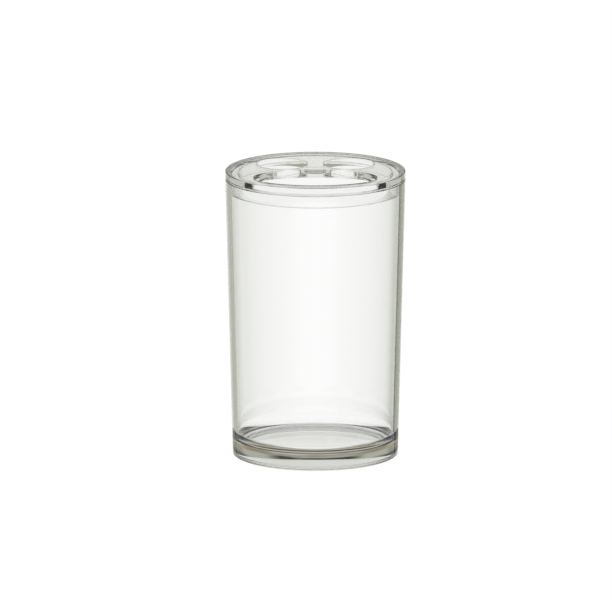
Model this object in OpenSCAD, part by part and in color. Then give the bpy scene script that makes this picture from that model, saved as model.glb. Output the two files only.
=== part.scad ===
// Clear toothbrush holder: a tapered tumbler with a thick moulded base and a
// lift-off plug lid. The lid has two round holes at the back for brushes and
// one wide oval opening at the front for a tube of paste.
// The origin is the centre of the underside, +Z is up, and the front is -Y.

/* [Tumbler] */
// Height of the tumbler from the underside to its rim
tumbler_h = 110.8; // [80:0.1:140]
// Outer diameter at the rim
rim_d = 71; // [62:0.1:84]
// How much less the tumbler measures across at its foot than at its rim
foot_taper = 5.8; // [2:0.1:11]
// Wall thickness, measured level
wall_t = 2.2; // [1.8:0.1:2.8]
// Thickness of the clear base, measured at the foot ring
base_t = 5.9; // [4:0.1:9]
// Radius of the fillet between the cup's floor and its wall
floor_fillet_r = 4.5; // [1:0.1:6]
// Rounding of the foot's outer edge
foot_edge_r = 0.5; // [0.2:0.1:1]
// Rounding of both edges of the rim
rim_edge_r = 0.3; // [0.1:0.1:0.7]

/* [Underside] */
// Width of the foot ring that the tumbler stands on
foot_ring_w = 4; // [2:0.1:8]
// Depth of the flat hollow inside the foot ring
hollow_depth = 1; // [0.9:0.1:2.5]
// Radius of the fillet between the hollow's side and its ceiling
hollow_fillet_r = 0.5; // [0.2:0.1:0.6]
// Rounding of the foot ring's inner edge
ring_edge_r = 0.3; // [0.1:0.1:0.4]

/* [Lid] */
// Thickness of the lid's plate
plate_t = 3.2; // [2.4:0.1:6]
// Rounding of the plate's upper and lower outer edges
plate_edge_r = 0.35; // [0.1:0.05:0.8]
// Depth of the plug skirt below the plate
skirt_depth = 5; // [3:0.1:12]
// Wall thickness of the plug skirt
skirt_t = 2.7; // [1.6:0.1:3]
// Rounding of the plug skirt's lower edges
skirt_edge_r = 0.3; // [0.1:0.1:0.7]
// Radius of the fillet between the plug skirt's inside and the plate
skirt_root_r = 0.5; // [0.2:0.1:1]
// Radial clearance of the plug skirt in the tumbler's mouth
plug_clearance = 0.08; // [0.04:0.01:0.3]

/* [Brush holes] */
// Diameter of each round hole
brush_hole_d = 19.8; // [14:0.1:22]
// Place of the round holes outwards: at 0 they touch the axis, at 1 the plug skirt
brush_out_share = 0.795; // [0.75:0.005:0.9]
// Place of the round holes sideways: at 0 they touch each other, at 1 they lie left and right
brush_apart_share = 0.387; // [0.2:0.001:0.6]

/* [Paste opening] */
// Width of plate between the oval opening and the round holes, front to back
paste_web = 1.8; // [1:0.1:4]
// Width of plate between the oval opening and the plug skirt, at the front
paste_margin = 2.5; // [1:0.1:3.5]
// Width of plate between the oval opening's two ends and the plug skirt
paste_end_margin = 2.9; // [1.5:0.1:5]
// Rounding of the edges of every opening
hole_edge_r = 0.3; // [0.1:0.05:0.6]

/* [Hidden] */

// Faces of a full turn, for the walls and for small roundings
wall_faces = 96;
edge_faces = 32;
// How far a cutting shape runs past the face that it cuts
overrun = 1;
// How far a corner's web reaches behind the corner
web_back = 0.2;

rim_r = rim_d / 2;
foot_r = rim_r - foot_taper / 2;
draft = (rim_r - foot_r) / tumbler_h;
hollow_r = foot_r - foot_ring_w;
plate_top = tumbler_h + plate_t;
skirt_bottom = tumbler_h - skirt_depth;

// The round holes lie side by side at the back, in the room that the plug skirt leaves them
room_r = skirt_inner_r(tumbler_h);
brush_hole_r = brush_hole_d / 2;
brush_hole_out = brush_hole_r + brush_out_share * (room_r - brush_hole_d);
brush_hole_x = brush_hole_r + brush_apart_share * (brush_hole_out - brush_hole_r);
brush_hole_y = sqrt(pow(brush_hole_out, 2) - pow(brush_hole_x, 2));

// The oval opening takes the rest of the plate, up to its webs
paste_front_y = paste_margin - room_r;
paste_back_y = brush_hole_y - brush_hole_r - paste_web;
paste_y = (paste_front_y + paste_back_y) / 2;
paste_l = paste_back_y - paste_front_y;
paste_w = 2 * sqrt(pow(room_r - paste_end_margin, 2) - pow(paste_y, 2));

// Radius of the tumbler's outside, of its inside, and of the plug skirt's faces at a height
function outer_r(z) = foot_r + draft * z;
function bore_r(z) = outer_r(z) - wall_t;
function skirt_outer_r(z) = bore_r(z) - plug_clearance;
function skirt_inner_r(z) = skirt_outer_r(z) - skirt_t;

function unit(v) = v / norm(v);

// The small web between a corner of an outline and the arc that rounds it. The corner is
// at p, and a and b lie along its two edges. It is taken off an outside corner, and added
// to an inside one.
module corner_web(p, a, b, r) {
    u = unit(a - p);
    v = unit(b - p);
    middle = unit(u + v);
    half_angle = acos(u * v) / 2;
    reach = r / tan(half_angle);
    centre = p + middle * r / sin(half_angle);
    difference() {
        polygon([p - middle * web_back, p + u * reach, centre, p + v * reach]);
        translate(centre)
            circle(r, $fn = edge_faces);
    }
}

// Half section of the tumbler, with the radius along x and the height along y
module tumbler_section() {
    hollow_mid = [0, hollow_depth];
    hollow_edge = [hollow_r, hollow_depth];
    ring_edge = [hollow_r, 0];
    foot = [foot_r, 0];
    rim_out = [rim_r, tumbler_h];
    rim_in = [bore_r(tumbler_h), tumbler_h];
    floor_edge = [bore_r(base_t), base_t];
    floor_mid = [0, base_t];
    difference() {
        polygon([hollow_mid, hollow_edge, ring_edge, foot, rim_out, rim_in, floor_edge, floor_mid]);
        corner_web(ring_edge, hollow_edge, foot, ring_edge_r);
        corner_web(foot, ring_edge, rim_out, foot_edge_r);
        corner_web(rim_out, foot, rim_in, rim_edge_r);
        corner_web(rim_in, rim_out, floor_edge, rim_edge_r);
    }
    corner_web(hollow_edge, hollow_mid, ring_edge, hollow_fillet_r);
    corner_web(floor_edge, rim_in, floor_mid, floor_fillet_r);
}

// Half section of the lid before its openings are cut
module lid_section() {
    top_edge = [rim_r, plate_top];
    under_edge = [rim_r, tumbler_h];
    top_mid = [0, plate_top];
    skirt_root = [skirt_outer_r(tumbler_h), tumbler_h];
    skirt_out = [skirt_outer_r(skirt_bottom), skirt_bottom];
    skirt_in = [skirt_inner_r(skirt_bottom), skirt_bottom];
    plate_root = [skirt_inner_r(tumbler_h), tumbler_h];
    under_mid = [0, tumbler_h];
    difference() {
        polygon([top_mid, top_edge, under_edge, skirt_root, skirt_out, skirt_in, plate_root, under_mid]);
        corner_web(top_edge, top_mid, under_edge, plate_edge_r);
        corner_web(under_edge, top_edge, skirt_root, plate_edge_r);
        corner_web(skirt_out, skirt_root, skirt_in, skirt_edge_r);
        corner_web(skirt_in, skirt_out, plate_root, skirt_edge_r);
    }
    corner_web(plate_root, skirt_in, under_mid, skirt_root_r);
}

// Half section of the solid that cuts a round hole through the plate. It is flared by the
// rounding of the hole's two edges.
module hole_section(r) {
    top = [r, plate_top];
    under = [r, tumbler_h];
    translate([0, tumbler_h - overrun])
        square([r, plate_t + 2 * overrun]);
    corner_web(top, under, top + [r, 0], hole_edge_r);
    corner_web(under, top, under + [r, 0], hole_edge_r);
}

module brush_hole(side) {
    translate([side * brush_hole_x, brush_hole_y, 0])
        rotate_extrude($fn = wall_faces)
            hole_section(brush_hole_r);
}

// The oval is a round hole as wide as itself, narrowed from front to back
module paste_opening() {
    translate([0, paste_y, 0])
        scale([1, paste_l / paste_w, 1])
            rotate_extrude($fn = wall_faces)
                hole_section(paste_w / 2);
}

module tumbler() {
    color([0.86, 0.88, 0.85, 0.5])
        rotate_extrude($fn = wall_faces)
            tumbler_section();
}

module lid() {
    color([0.82, 0.84, 0.81, 0.5])
        difference() {
            rotate_extrude($fn = wall_faces)
                lid_section();
            brush_hole(-1);
            brush_hole(1);
            paste_opening();
        }
}

tumbler();
lid();
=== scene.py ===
import math

import bmesh
import bpy
from mathutils import Matrix, Vector


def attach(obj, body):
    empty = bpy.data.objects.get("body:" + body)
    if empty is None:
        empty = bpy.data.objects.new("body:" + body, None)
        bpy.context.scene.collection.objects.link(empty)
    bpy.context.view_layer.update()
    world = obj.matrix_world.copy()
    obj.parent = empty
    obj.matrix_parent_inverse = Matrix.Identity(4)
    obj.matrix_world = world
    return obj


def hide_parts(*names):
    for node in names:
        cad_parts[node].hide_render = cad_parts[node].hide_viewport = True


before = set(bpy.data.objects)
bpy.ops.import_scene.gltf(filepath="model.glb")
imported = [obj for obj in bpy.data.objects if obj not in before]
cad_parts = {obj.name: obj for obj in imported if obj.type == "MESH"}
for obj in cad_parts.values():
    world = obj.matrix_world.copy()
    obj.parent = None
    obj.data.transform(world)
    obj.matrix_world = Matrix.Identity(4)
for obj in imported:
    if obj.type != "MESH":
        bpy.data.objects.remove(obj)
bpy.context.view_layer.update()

mm = 0.001


# Camera. A long lens from far away, because the photograph's upright outlines show no
# perspective. It looks down at 12.5 degrees, with the holder's axis a little right of centre.
picture = 612
picture_pixel = 0.3949 * mm
axis_column, foot_row = 315.35, 452.5
looking_down = math.radians(12.5)
camera_distance = 8.0

forward = Vector((0, math.cos(looking_down), -math.sin(looking_down)))
upward = Vector((0, math.sin(looking_down), math.cos(looking_down)))
middle = picture / 2
aim = upward * (foot_row - middle) * picture_pixel + Vector(((middle - axis_column) * picture_pixel, 0, 0))
camera = bpy.data.objects.new("camera", bpy.data.cameras.new("camera"))
bpy.context.collection.objects.link(camera)
camera.location = aim - forward * camera_distance
camera.rotation_euler = (-forward).to_track_quat("Z", "Y").to_euler()
camera.data.sensor_width = 36
camera.data.lens = 36 * camera_distance / (picture * picture_pixel)
camera.data.clip_end = 100
bpy.context.scene.camera = camera


# Tumbler. One moulding in clear acrylic, 2.9 mm narrower in radius at the foot than at the rim,
# with a thick solid base, a wide fillet round the cup's floor and a shallow hollow underneath.
# It stands on the ring that the hollow leaves, and carries the lid on its rim.
rim_r = 35.5 * mm
foot_r = 32.6 * mm
rim_z = 110.8 * mm
wall = 2.2 * mm
floor_z = 5.9 * mm
floor_fillet = 4.5 * mm
foot_edge = 0.5 * mm
rim_edge = 0.3 * mm
hollow_r = 28.6 * mm
hollow_z = 1.0 * mm
hollow_fillet = 0.5 * mm
ring_edge = 0.3 * mm
draft = (rim_r - foot_r) / rim_z
turn_steps = 256


class Feed:
    """A shader socket that plain expressions can add, subtract, multiply and divide."""

    def __init__(self, tree, socket):
        self.tree = tree
        self.socket = socket

    def maths(self, operation, *values):
        return node(self.tree, "ShaderNodeMath", {"operation": operation}, dict(enumerate(values)))

    def __add__(self, other):
        return self.maths("ADD", self, other)

    def __radd__(self, other):
        return self.maths("ADD", other, self)

    def __sub__(self, other):
        return self.maths("SUBTRACT", self, other)

    def __rsub__(self, other):
        return self.maths("SUBTRACT", other, self)

    def __mul__(self, other):
        return self.maths("MULTIPLY", self, other)

    def __rmul__(self, other):
        return self.maths("MULTIPLY", other, self)

    def __truediv__(self, other):
        return self.maths("DIVIDE", self, other)

    def __mod__(self, other):
        return self.maths("MODULO", self, other)

    def __abs__(self):
        return self.maths("ABSOLUTE", self)


def node(tree, kind, settings=None, inputs=None, output=0):
    """Adds one node: its settings first, then the value or link of each named input."""
    new = tree.nodes.new(kind)
    for name, value in (settings or {}).items():
        if name == "stops":
            ramp = new.color_ramp.elements
            while len(ramp) < len(value):
                ramp.new(1)
            for stop, (place, colour) in zip(ramp, value):
                stop.position = place
                stop.color = (*colour, 1)
        else:
            setattr(new, name, value)
    for name, value in (inputs or {}).items():
        if isinstance(value, Feed):
            tree.links.new(value.socket, new.inputs[name])
        else:
            new.inputs[name].default_value = value
    return Feed(tree, new.outputs[output]) if new.outputs else None


def half_section(corners):
    """A new mesh with one outline, as (radius, height, rounding, segments) from corner to corner."""
    bm = bmesh.new()
    points = [bm.verts.new((r, 0, z)) for r, z, _, _ in corners]
    for a, b in zip(points, points[1:]):
        bm.edges.new((a, b))
    for point, (_, _, rounding, segments) in zip(points, corners):
        if rounding:
            bmesh.ops.bevel(bm, geom=[point], offset=rounding, offset_type="OFFSET", segments=segments,
                            profile=0.5, affect="VERTICES", material=-1)
    return bm


def turn(bm):
    """Turns the outline about the upright axis."""
    bmesh.ops.spin(bm, geom=bm.verts[:] + bm.edges[:], cent=(0, 0, 0), axis=(0, 0, 1),
                   angle=2 * math.pi, steps=turn_steps, use_merge=True)


def polished_piece(bm, name, body, cad_node):
    """Closes the mesh, gives it the moulding's shading, and puts it in the frame."""
    bmesh.ops.remove_doubles(bm, verts=bm.verts, dist=0.0001 * mm)
    bmesh.ops.dissolve_degenerate(bm, edges=bm.edges, dist=0.00001 * mm)
    bmesh.ops.recalc_face_normals(bm, faces=bm.faces)
    mesh = bpy.data.meshes.new(name)
    bm.to_mesh(mesh)
    bm.free()
    mesh.shade_smooth()
    mesh.set_sharp_from_angle(angle=math.radians(35))
    piece = bpy.data.objects.new(name, mesh)
    bpy.context.collection.objects.link(piece)
    shading = piece.modifiers.new("shading", "WEIGHTED_NORMAL")
    shading.keep_sharp = True
    shading.weight = 100
    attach(piece, body)
    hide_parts(cad_node)
    return piece


def clear_acrylic(name):
    """Polished clear acrylic: faint flow waves, rare dull specks, a grey-green tint in depth."""
    material = bpy.data.materials.new(name)
    material.use_nodes = True
    tree = material.node_tree
    tree.nodes.clear()
    place = node(tree, "ShaderNodeTexCoord", output="Object")
    along = node(tree, "ShaderNodeMapping", {}, {"Vector": place, "Scale": (90.0, 90.0, 9.0)})
    flow = node(tree, "ShaderNodeTexNoise", {}, {"Vector": along, "Scale": 1.0, "Detail": 1.0})
    waves = node(tree, "ShaderNodeBump", {}, {
        "Strength": 1.0, "Distance": 0.004 * mm, "Height": flow}, "Normal")
    specks = node(tree, "ShaderNodeTexNoise", {}, {"Vector": place, "Scale": 260.0, "Detail": 3.0})
    dull = node(tree, "ShaderNodeMapRange", {"interpolation_type": "SMOOTHSTEP"},
                {"Value": specks, "From Min": 0.62, "From Max": 0.8, "To Min": 0.0, "To Max": 0.06})
    surface = node(tree, "ShaderNodeBsdfPrincipled", {}, {
        "Base Color": (1, 1, 1, 1), "Roughness": dull, "IOR": 1.49,
        "Transmission Weight": 1.0, "Normal": waves}, "BSDF")
    depth = node(tree, "ShaderNodeVolumeAbsorption", {}, {"Color": (0.5, 0.53, 0.44, 1), "Density": 12.0})
    node(tree, "ShaderNodeOutputMaterial", {}, {"Surface": surface, "Volume": depth})
    return material


bm = half_section([
    (0, hollow_z, 0, 0),
    (hollow_r, hollow_z, hollow_fillet, 6),
    (hollow_r, 0, ring_edge, 5),
    (foot_r, 0, foot_edge, 6),
    (rim_r, rim_z, rim_edge, 5),
    (rim_r - wall, rim_z, rim_edge, 5),
    (foot_r + draft * floor_z - wall, floor_z, floor_fillet, 20),
    (0, floor_z, 0, 0),
])
turn(bm)
tumbler = polished_piece(bm, "clear_tumbler", "tumbler", "tumbler")
tumbler.data.materials.append(clear_acrylic("tumbler_acrylic"))


# Lid. One moulding in the same acrylic: a flat round plate whose edge is flush with the rim, and
# a plug skirt under it that stands just clear of the bore. Two round holes and a wide oval go
# through the plate, each with its edges eased. It rests on the rim and simply lifts off.
plate_z = rim_z + 3.2 * mm
under_z = rim_z + 0.03 * mm
plate_edge = 0.35 * mm
skirt_depth = 5.0 * mm
skirt_t = 2.7 * mm
skirt_gap = 0.08 * mm
skirt_edge = 0.3 * mm
skirt_root = 0.5 * mm
top_margin = 0.5 * mm
under_margin = 1.0 * mm
skirt_z = rim_z - skirt_depth
skirt_out = rim_r - wall - skirt_gap
skirt_in = skirt_out - skirt_t
lean = draft * skirt_depth
lip = 0.3 * mm

# The round holes lie side by side at the back, and the oval takes the rest of the plate
hole_r = 9.9 * mm
out_share = 0.795
apart_share = 0.387
hole_out = hole_r + out_share * (skirt_in - 2 * hole_r)
hole_x = hole_r + apart_share * (hole_out - hole_r)
hole_y = math.sqrt(hole_out ** 2 - hole_x ** 2)
web_to_holes = 1.8 * mm
front_margin = 2.5 * mm
end_margin = 2.9 * mm
oval_front = front_margin - skirt_in
oval_back = hole_y - hole_r - web_to_holes
oval_y = (oval_front + oval_back) / 2
oval_half_length = (oval_back - oval_front) / 2
oval_half_width = math.sqrt((skirt_in - end_margin) ** 2 - oval_y ** 2)

bm = half_section([
    (rim_r - top_margin, plate_z, 0, 0),
    (rim_r, plate_z, plate_edge, 6),
    (rim_r, under_z, plate_edge, 6),
    (skirt_out, under_z, 0, 0),
    (skirt_out - lean, skirt_z, skirt_edge, 5),
    (skirt_in - lean, skirt_z, skirt_edge, 5),
    (skirt_in, under_z, skirt_root, 6),
    (skirt_in - under_margin, under_z, 0, 0),
])
turn(bm)
for x, y, radius, squeeze in (
        (-hole_x, hole_y, hole_r, 1.0),
        (hole_x, hole_y, hole_r, 1.0),
        (0.0, oval_y, oval_half_width, oval_half_length / oval_half_width)):
    hole = half_section([
        (radius + 2 * lip, plate_z, 0, 0),
        (radius, plate_z, lip, 6),
        (radius, under_z, lip, 6),
        (radius + 2 * lip, under_z, 0, 0),
    ])
    turn(hole)
    into_place = Matrix.Translation((x, y, 0)) @ Matrix.Diagonal((1, squeeze, 1, 1))
    bmesh.ops.transform(hole, verts=hole.verts, matrix=into_place)
    wall_of_hole = bpy.data.meshes.new("hole")
    hole.to_mesh(wall_of_hole)
    hole.free()
    bm.from_mesh(wall_of_hole)
    bpy.data.meshes.remove(wall_of_hole)
bmesh.ops.remove_doubles(bm, verts=bm.verts, dist=0.0001 * mm)

# The plate's two flat faces are filled in between the turned edges
for face_z in (plate_z, under_z):
    rims = [e for e in bm.edges if e.is_boundary and all(abs(v.co.z - face_z) < 0.001 * mm for v in e.verts)]
    bmesh.ops.triangle_fill(bm, use_beauty=True, use_dissolve=False, edges=rims)
lid = polished_piece(bm, "clear_lid", "lid", "lid")
lid.data.materials.append(clear_acrylic("lid_acrylic"))


# Table. A plain white sheet that the camera sees with the holder's faint soft shadow on it. What
# shows through the base is a small round glowing card in place of the table, with painted shade on
# it: white under its middle, a painted dark brown shadow under the foot ring, running out white towards the
# back.
sheet_r, sheet_z = 20.0, -0.02 * mm
sheet_glow = 0.93
card_r, card_z = 72 * mm, -0.01 * mm
card_ramp = (0.0, 40.0)

# The tones of every card and of the gauze
white = (1.0, 1.0, 1.0)
pale = (0.85, 0.86, 0.84)
light = (0.7, 0.71, 0.67)
grey = (0.55, 0.56, 0.5)
dark = (0.34, 0.36, 0.28)
brown = (0.36, 0.28, 0.19)
black = (0.015, 0.015, 0.01)


def stage_piece(bm, name):
    """Puts up something that isn't part of the holder, and gives back its empty material."""
    mesh = bpy.data.meshes.new(name)
    bm.to_mesh(mesh)
    bm.free()
    stand = bpy.data.objects.new(name, mesh)
    bpy.context.collection.objects.link(stand)
    material = bpy.data.materials.new(name)
    material.use_nodes = True
    material.node_tree.nodes.clear()
    mesh.materials.append(material)
    return stand, material.node_tree


def only_in_acrylic(stand):
    """Keeps a card out of the camera's view and off the table: only the acrylic shows it."""
    stand.visible_camera = False
    stand.visible_diffuse = False
    stand.visible_shadow = False


def parts(tree, vector):
    """The x, y and z of a vector."""
    return [node(tree, "ShaderNodeSeparateXYZ", {}, {0: vector}, axis) for axis in "XYZ"]


def bearing(across, back):
    """Degrees round the holder from straight behind it, above 0 on its right."""
    return across.maths("ARCTAN2", across, back) * math.degrees(1)


def smooth_step(tree, value, start, end):
    """0 before the start, 1 past the end, and an even change between them."""
    return node(tree, "ShaderNodeMapRange", {"interpolation_type": "SMOOTHSTEP"},
                {"Value": value, "From Min": start, "From Max": end, "To Min": 0.0, "To Max": 1.0})


def blend(tree, share, first, second):
    """Mixes two colours, each a plain (red, green, blue) or a Feed."""
    first, second = (c if isinstance(c, Feed) else (*c, 1) for c in (first, second))
    return node(tree, "ShaderNodeMix", {"data_type": "RGBA"}, {0: share, 6: first, 7: second}, 2)


def tones(tree, value, ends, stops):
    """A colour ramp whose two ends and stops are given in the value's own unit."""
    lowest, highest = ends
    span = highest - lowest
    stops = [((place - lowest) / span, colour) for place, colour in stops]
    return node(tree, "ShaderNodeValToRGB", {"stops": stops}, {"Fac": (value - lowest) / span}, "Color")


def glow(tree, colour, strength=1.0):
    """A surface that gives off its own colour."""
    return node(tree, "ShaderNodeEmission", {}, {"Color": colour, "Strength": strength})


def finish_surface(tree, shader):
    """Ends a stage material in its output."""
    node(tree, "ShaderNodeOutputMaterial", {}, {"Surface": shader})


bm = bmesh.new()
bmesh.ops.create_circle(bm, cap_ends=True, segments=128, radius=sheet_r,
                        matrix=Matrix.Translation((0, 0, sheet_z)))
sheet, tree = stage_piece(bm, "table")
sheet.visible_glossy = False
sheet.visible_transmission = False
paper = node(tree, "ShaderNodeBsdfDiffuse", {}, {"Color": (0.1, 0.1, 0.1, 1)})
lit = node(tree, "ShaderNodeAddShader", {}, {0: paper, 1: glow(tree, (*white, 1), sheet_glow)})
plain = node(tree, "ShaderNodeBsdfDiffuse", {}, {"Color": (0.8, 0.8, 0.8, 1)})
camera_ray = node(tree, "ShaderNodeLightPath", output="Is Camera Ray")
finish_surface(tree, node(tree, "ShaderNodeMixShader", {}, {0: camera_ray, 1: plain, 2: lit}))

bm = bmesh.new()
bmesh.ops.create_circle(bm, cap_ends=True, segments=128, radius=card_r,
                        matrix=Matrix.Translation((0, 0, card_z)))
painted_shade_card, tree = stage_piece(bm, "table_card_painted_shade")
only_in_acrylic(painted_shade_card)
place = node(tree, "ShaderNodeTexCoord", output="Object")
reach = node(tree, "ShaderNodeVectorMath", {"operation": "LENGTH"}, {0: place}, "Value") / mm
across, back, _ = parts(tree, place)
aside = abs(bearing(across, back))
# Painted shade: a grey ring inside the hollow's edge and a dark brown to black ring under the foot ring,
# browner and darker on the near side.
far_side_shade = tones(tree, reach, card_ramp, [
    (16, white), (21, light), (23, light), (25.5, pale), (27.5, dark), (28.5, black), (30.5, black),
    (33.5, white)])
flank_shade = tones(tree, reach, card_ramp, [
    (21, white), (25, light), (28, dark), (30.5, dark), (33.5, white)])
near_side_shade = tones(tree, reach, card_ramp, [
    (19, white), (21.5, grey), (24, black), (25.5, brown), (26.5, pale), (27.5, brown), (28.5, black),
    (30.5, black), (31.5, brown), (33.5, white)])
colour = blend(tree, smooth_step(tree, aside, 45, 75), far_side_shade, flank_shade)
colour = blend(tree, smooth_step(tree, aside, 105, 130), colour, near_side_shade)

# The card ends a little past the foot, and further out towards the back
past_foot = smooth_step(tree, reach, 34, 37) * smooth_step(tree, aside, 38, 50)
gone = past_foot.maths("MAXIMUM", past_foot, smooth_step(tree, reach, 50, 70))
clear = node(tree, "ShaderNodeBsdfTransparent")
finish_surface(tree, node(tree, "ShaderNodeMixShader", {}, {0: gone, 1: glow(tree, colour), 2: clear}))


# Backdrop strips. A ring of card 0.6 m away, in level strips of white, grey and brown. The base
# and the lid's plate mirror them from below, which draws the fine lines in their thick edges.
strips_r = 0.6
strips_low, strips_middle, strips_top = 100.0, 220.0, 320.0
low_strips = (strips_low, strips_middle)
high_strips = (strips_middle, strips_top)

bm = bmesh.new()
bmesh.ops.create_cone(bm, cap_ends=False, segments=256, radius1=strips_r, radius2=strips_r,
                      depth=(strips_top - strips_low) * mm,
                      matrix=Matrix.Translation((0, 0, (strips_top + strips_low) / 2 * mm)))
strips, tree = stage_piece(bm, "backdrop_strips")
only_in_acrylic(strips)
across, back, up = parts(tree, node(tree, "ShaderNodeTexCoord", output="Object"))
aside = abs(bearing(across, back))
level = up / mm
behind = tones(tree, level, low_strips, [
    (114, white), (134, pale), (135, brown), (136, grey), (137, black), (138, black), (139.5, dark),
    (142, grey), (150, light), (170, light), (190, dark)])
beside = tones(tree, level, low_strips, [
    (132, pale), (134.5, brown), (136, brown), (137, grey), (140, grey), (141.5, black), (142.5, black),
    (145, dark), (170, light), (190, dark)])
around = tones(tree, level, low_strips, [
    (128, pale), (134, light), (137, brown), (140, dark), (141.5, black), (144, black), (147, dark),
    (170, light), (190, dark)])
to_base = blend(tree, smooth_step(tree, aside, 15, 27), behind, beside)
to_base = blend(tree, smooth_step(tree, aside, 44, 54), to_base, around)
behind_lid = tones(tree, level, high_strips, [
    (232, dark), (237, light), (248, grey), (251, black), (254, black), (257, grey), (266, light),
    (300, grey)])
beside_lid = tones(tree, level, high_strips, [(250, dark), (260, light), (300, grey)])
to_lid = blend(tree, smooth_step(tree, aside, 11, 19), behind_lid, beside_lid)
finish_surface(tree, glow(tree, blend(tree, smooth_step(tree, level, 222, 230), to_base, to_lid)))


# White card. It lies on the table well behind the holder, where only the lid looks at it, and
# brightens the walls of the lid's holes.
near_y, near_half = 0.475, 0.235
far_y, far_half = 0.56, 0.27
white_card_glow = 0.94

bm = bmesh.new()
corners = ((-near_half, near_y), (near_half, near_y), (far_half, far_y), (-far_half, far_y))
bm.faces.new([bm.verts.new((x, y, card_z)) for x, y in corners])
white_card, tree = stage_piece(bm, "white_card")
only_in_acrylic(white_card)
finish_surface(tree, glow(tree, (*white, 1), white_card_glow))


# Gauze. A wide tent of grey gauze round the table, that dims the white room for the acrylic. It
# has eight clear windows, so that every side looks through, and darker folds between them. The
# level of the photograph's own view has folds of its own, which draw the tumbler's dark edges.
tent_r = 15.0
window_step = 360.0 / 8
half_step = window_step / 2
own_level = -12.3
below_level, above_level = (-90.0, 0.0), (0.0, 90.0)
half_turn = (0.0, 180.0)

bm = bmesh.new()
bmesh.ops.create_uvsphere(bm, u_segments=96, v_segments=64, radius=tent_r)
tent, tree = stage_piece(bm, "gauze_tent")
only_in_acrylic(tent)
place = node(tree, "ShaderNodeTexCoord", output="Object")
direction = node(tree, "ShaderNodeVectorMath", {"operation": "NORMALIZE"}, {0: place})
east, north, up = parts(tree, direction)
turned = bearing(east, north)
aside = abs(turned)
height = up.maths("ARCSINE", up) * math.degrees(1)
off_window = abs((turned + 360.0 + half_step) % window_step - half_step)
greys = tones(tree, height, below_level, [
    (-36, white), (-31, pale), (-24, light), (-17, grey), (-14, grey), (-9.5, pale), (0, light)])
windows = blend(tree, smooth_step(tree, off_window, 6, 20), white, greys)
east_folds = tones(tree, aside, half_turn, [
    (0, white), (7, pale), (10.5, light), (13.5, grey), (16.5, dark), (20, dark), (26, grey), (30, dark),
    (33, black), (35, black), (37.5, light), (142, pale), (158, white)])
west_folds = tones(tree, aside, half_turn, [
    (0, white), (6, pale), (12, pale), (15, light), (19, grey), (22, dark), (26, grey), (30, grey),
    (33, dark), (35, dark), (37.5, light), (142, pale), (158, white)])
folds = blend(tree, smooth_step(tree, east, -0.0001, 0.0001), west_folds, east_folds)
off_level = abs(height - own_level) - smooth_step(tree, aside, 54, 85) * 2.0
low = blend(tree, smooth_step(tree, off_level, 1.8, 2.5), folds, windows)
high = tones(tree, height, above_level, [
    (1, black), (19, black), (22, light), (35, pale), (60, white)])
gauze = blend(tree, smooth_step(tree, height, -0.6, 0.6), low, high)
finish_surface(tree, node(tree, "ShaderNodeBsdfTransparent", {}, {"Color": gauze}))


# Room. White to the camera and through the acrylic, and a plain soft light on everything else.
world = bpy.data.worlds.new("room")
bpy.context.scene.world = world
world.use_nodes = True
tree = world.node_tree
tree.nodes.clear()
camera_ray, glossy_ray, clear_ray = (
    node(tree, "ShaderNodeLightPath", output=kind)
    for kind in ("Is Camera Ray", "Is Glossy Ray", "Is Transmission Ray"))
shows_white = camera_ray + glossy_ray + clear_ray
shows_white = shows_white.maths("MINIMUM", shows_white, 1.0)
colour = blend(tree, shows_white, (0.9, 0.9, 0.9), white)
background = node(tree, "ShaderNodeBackground", {}, {"Color": colour})
node(tree, "ShaderNodeOutputWorld", {}, {"Surface": background})

bpy.context.scene.view_settings.view_transform = "Standard"
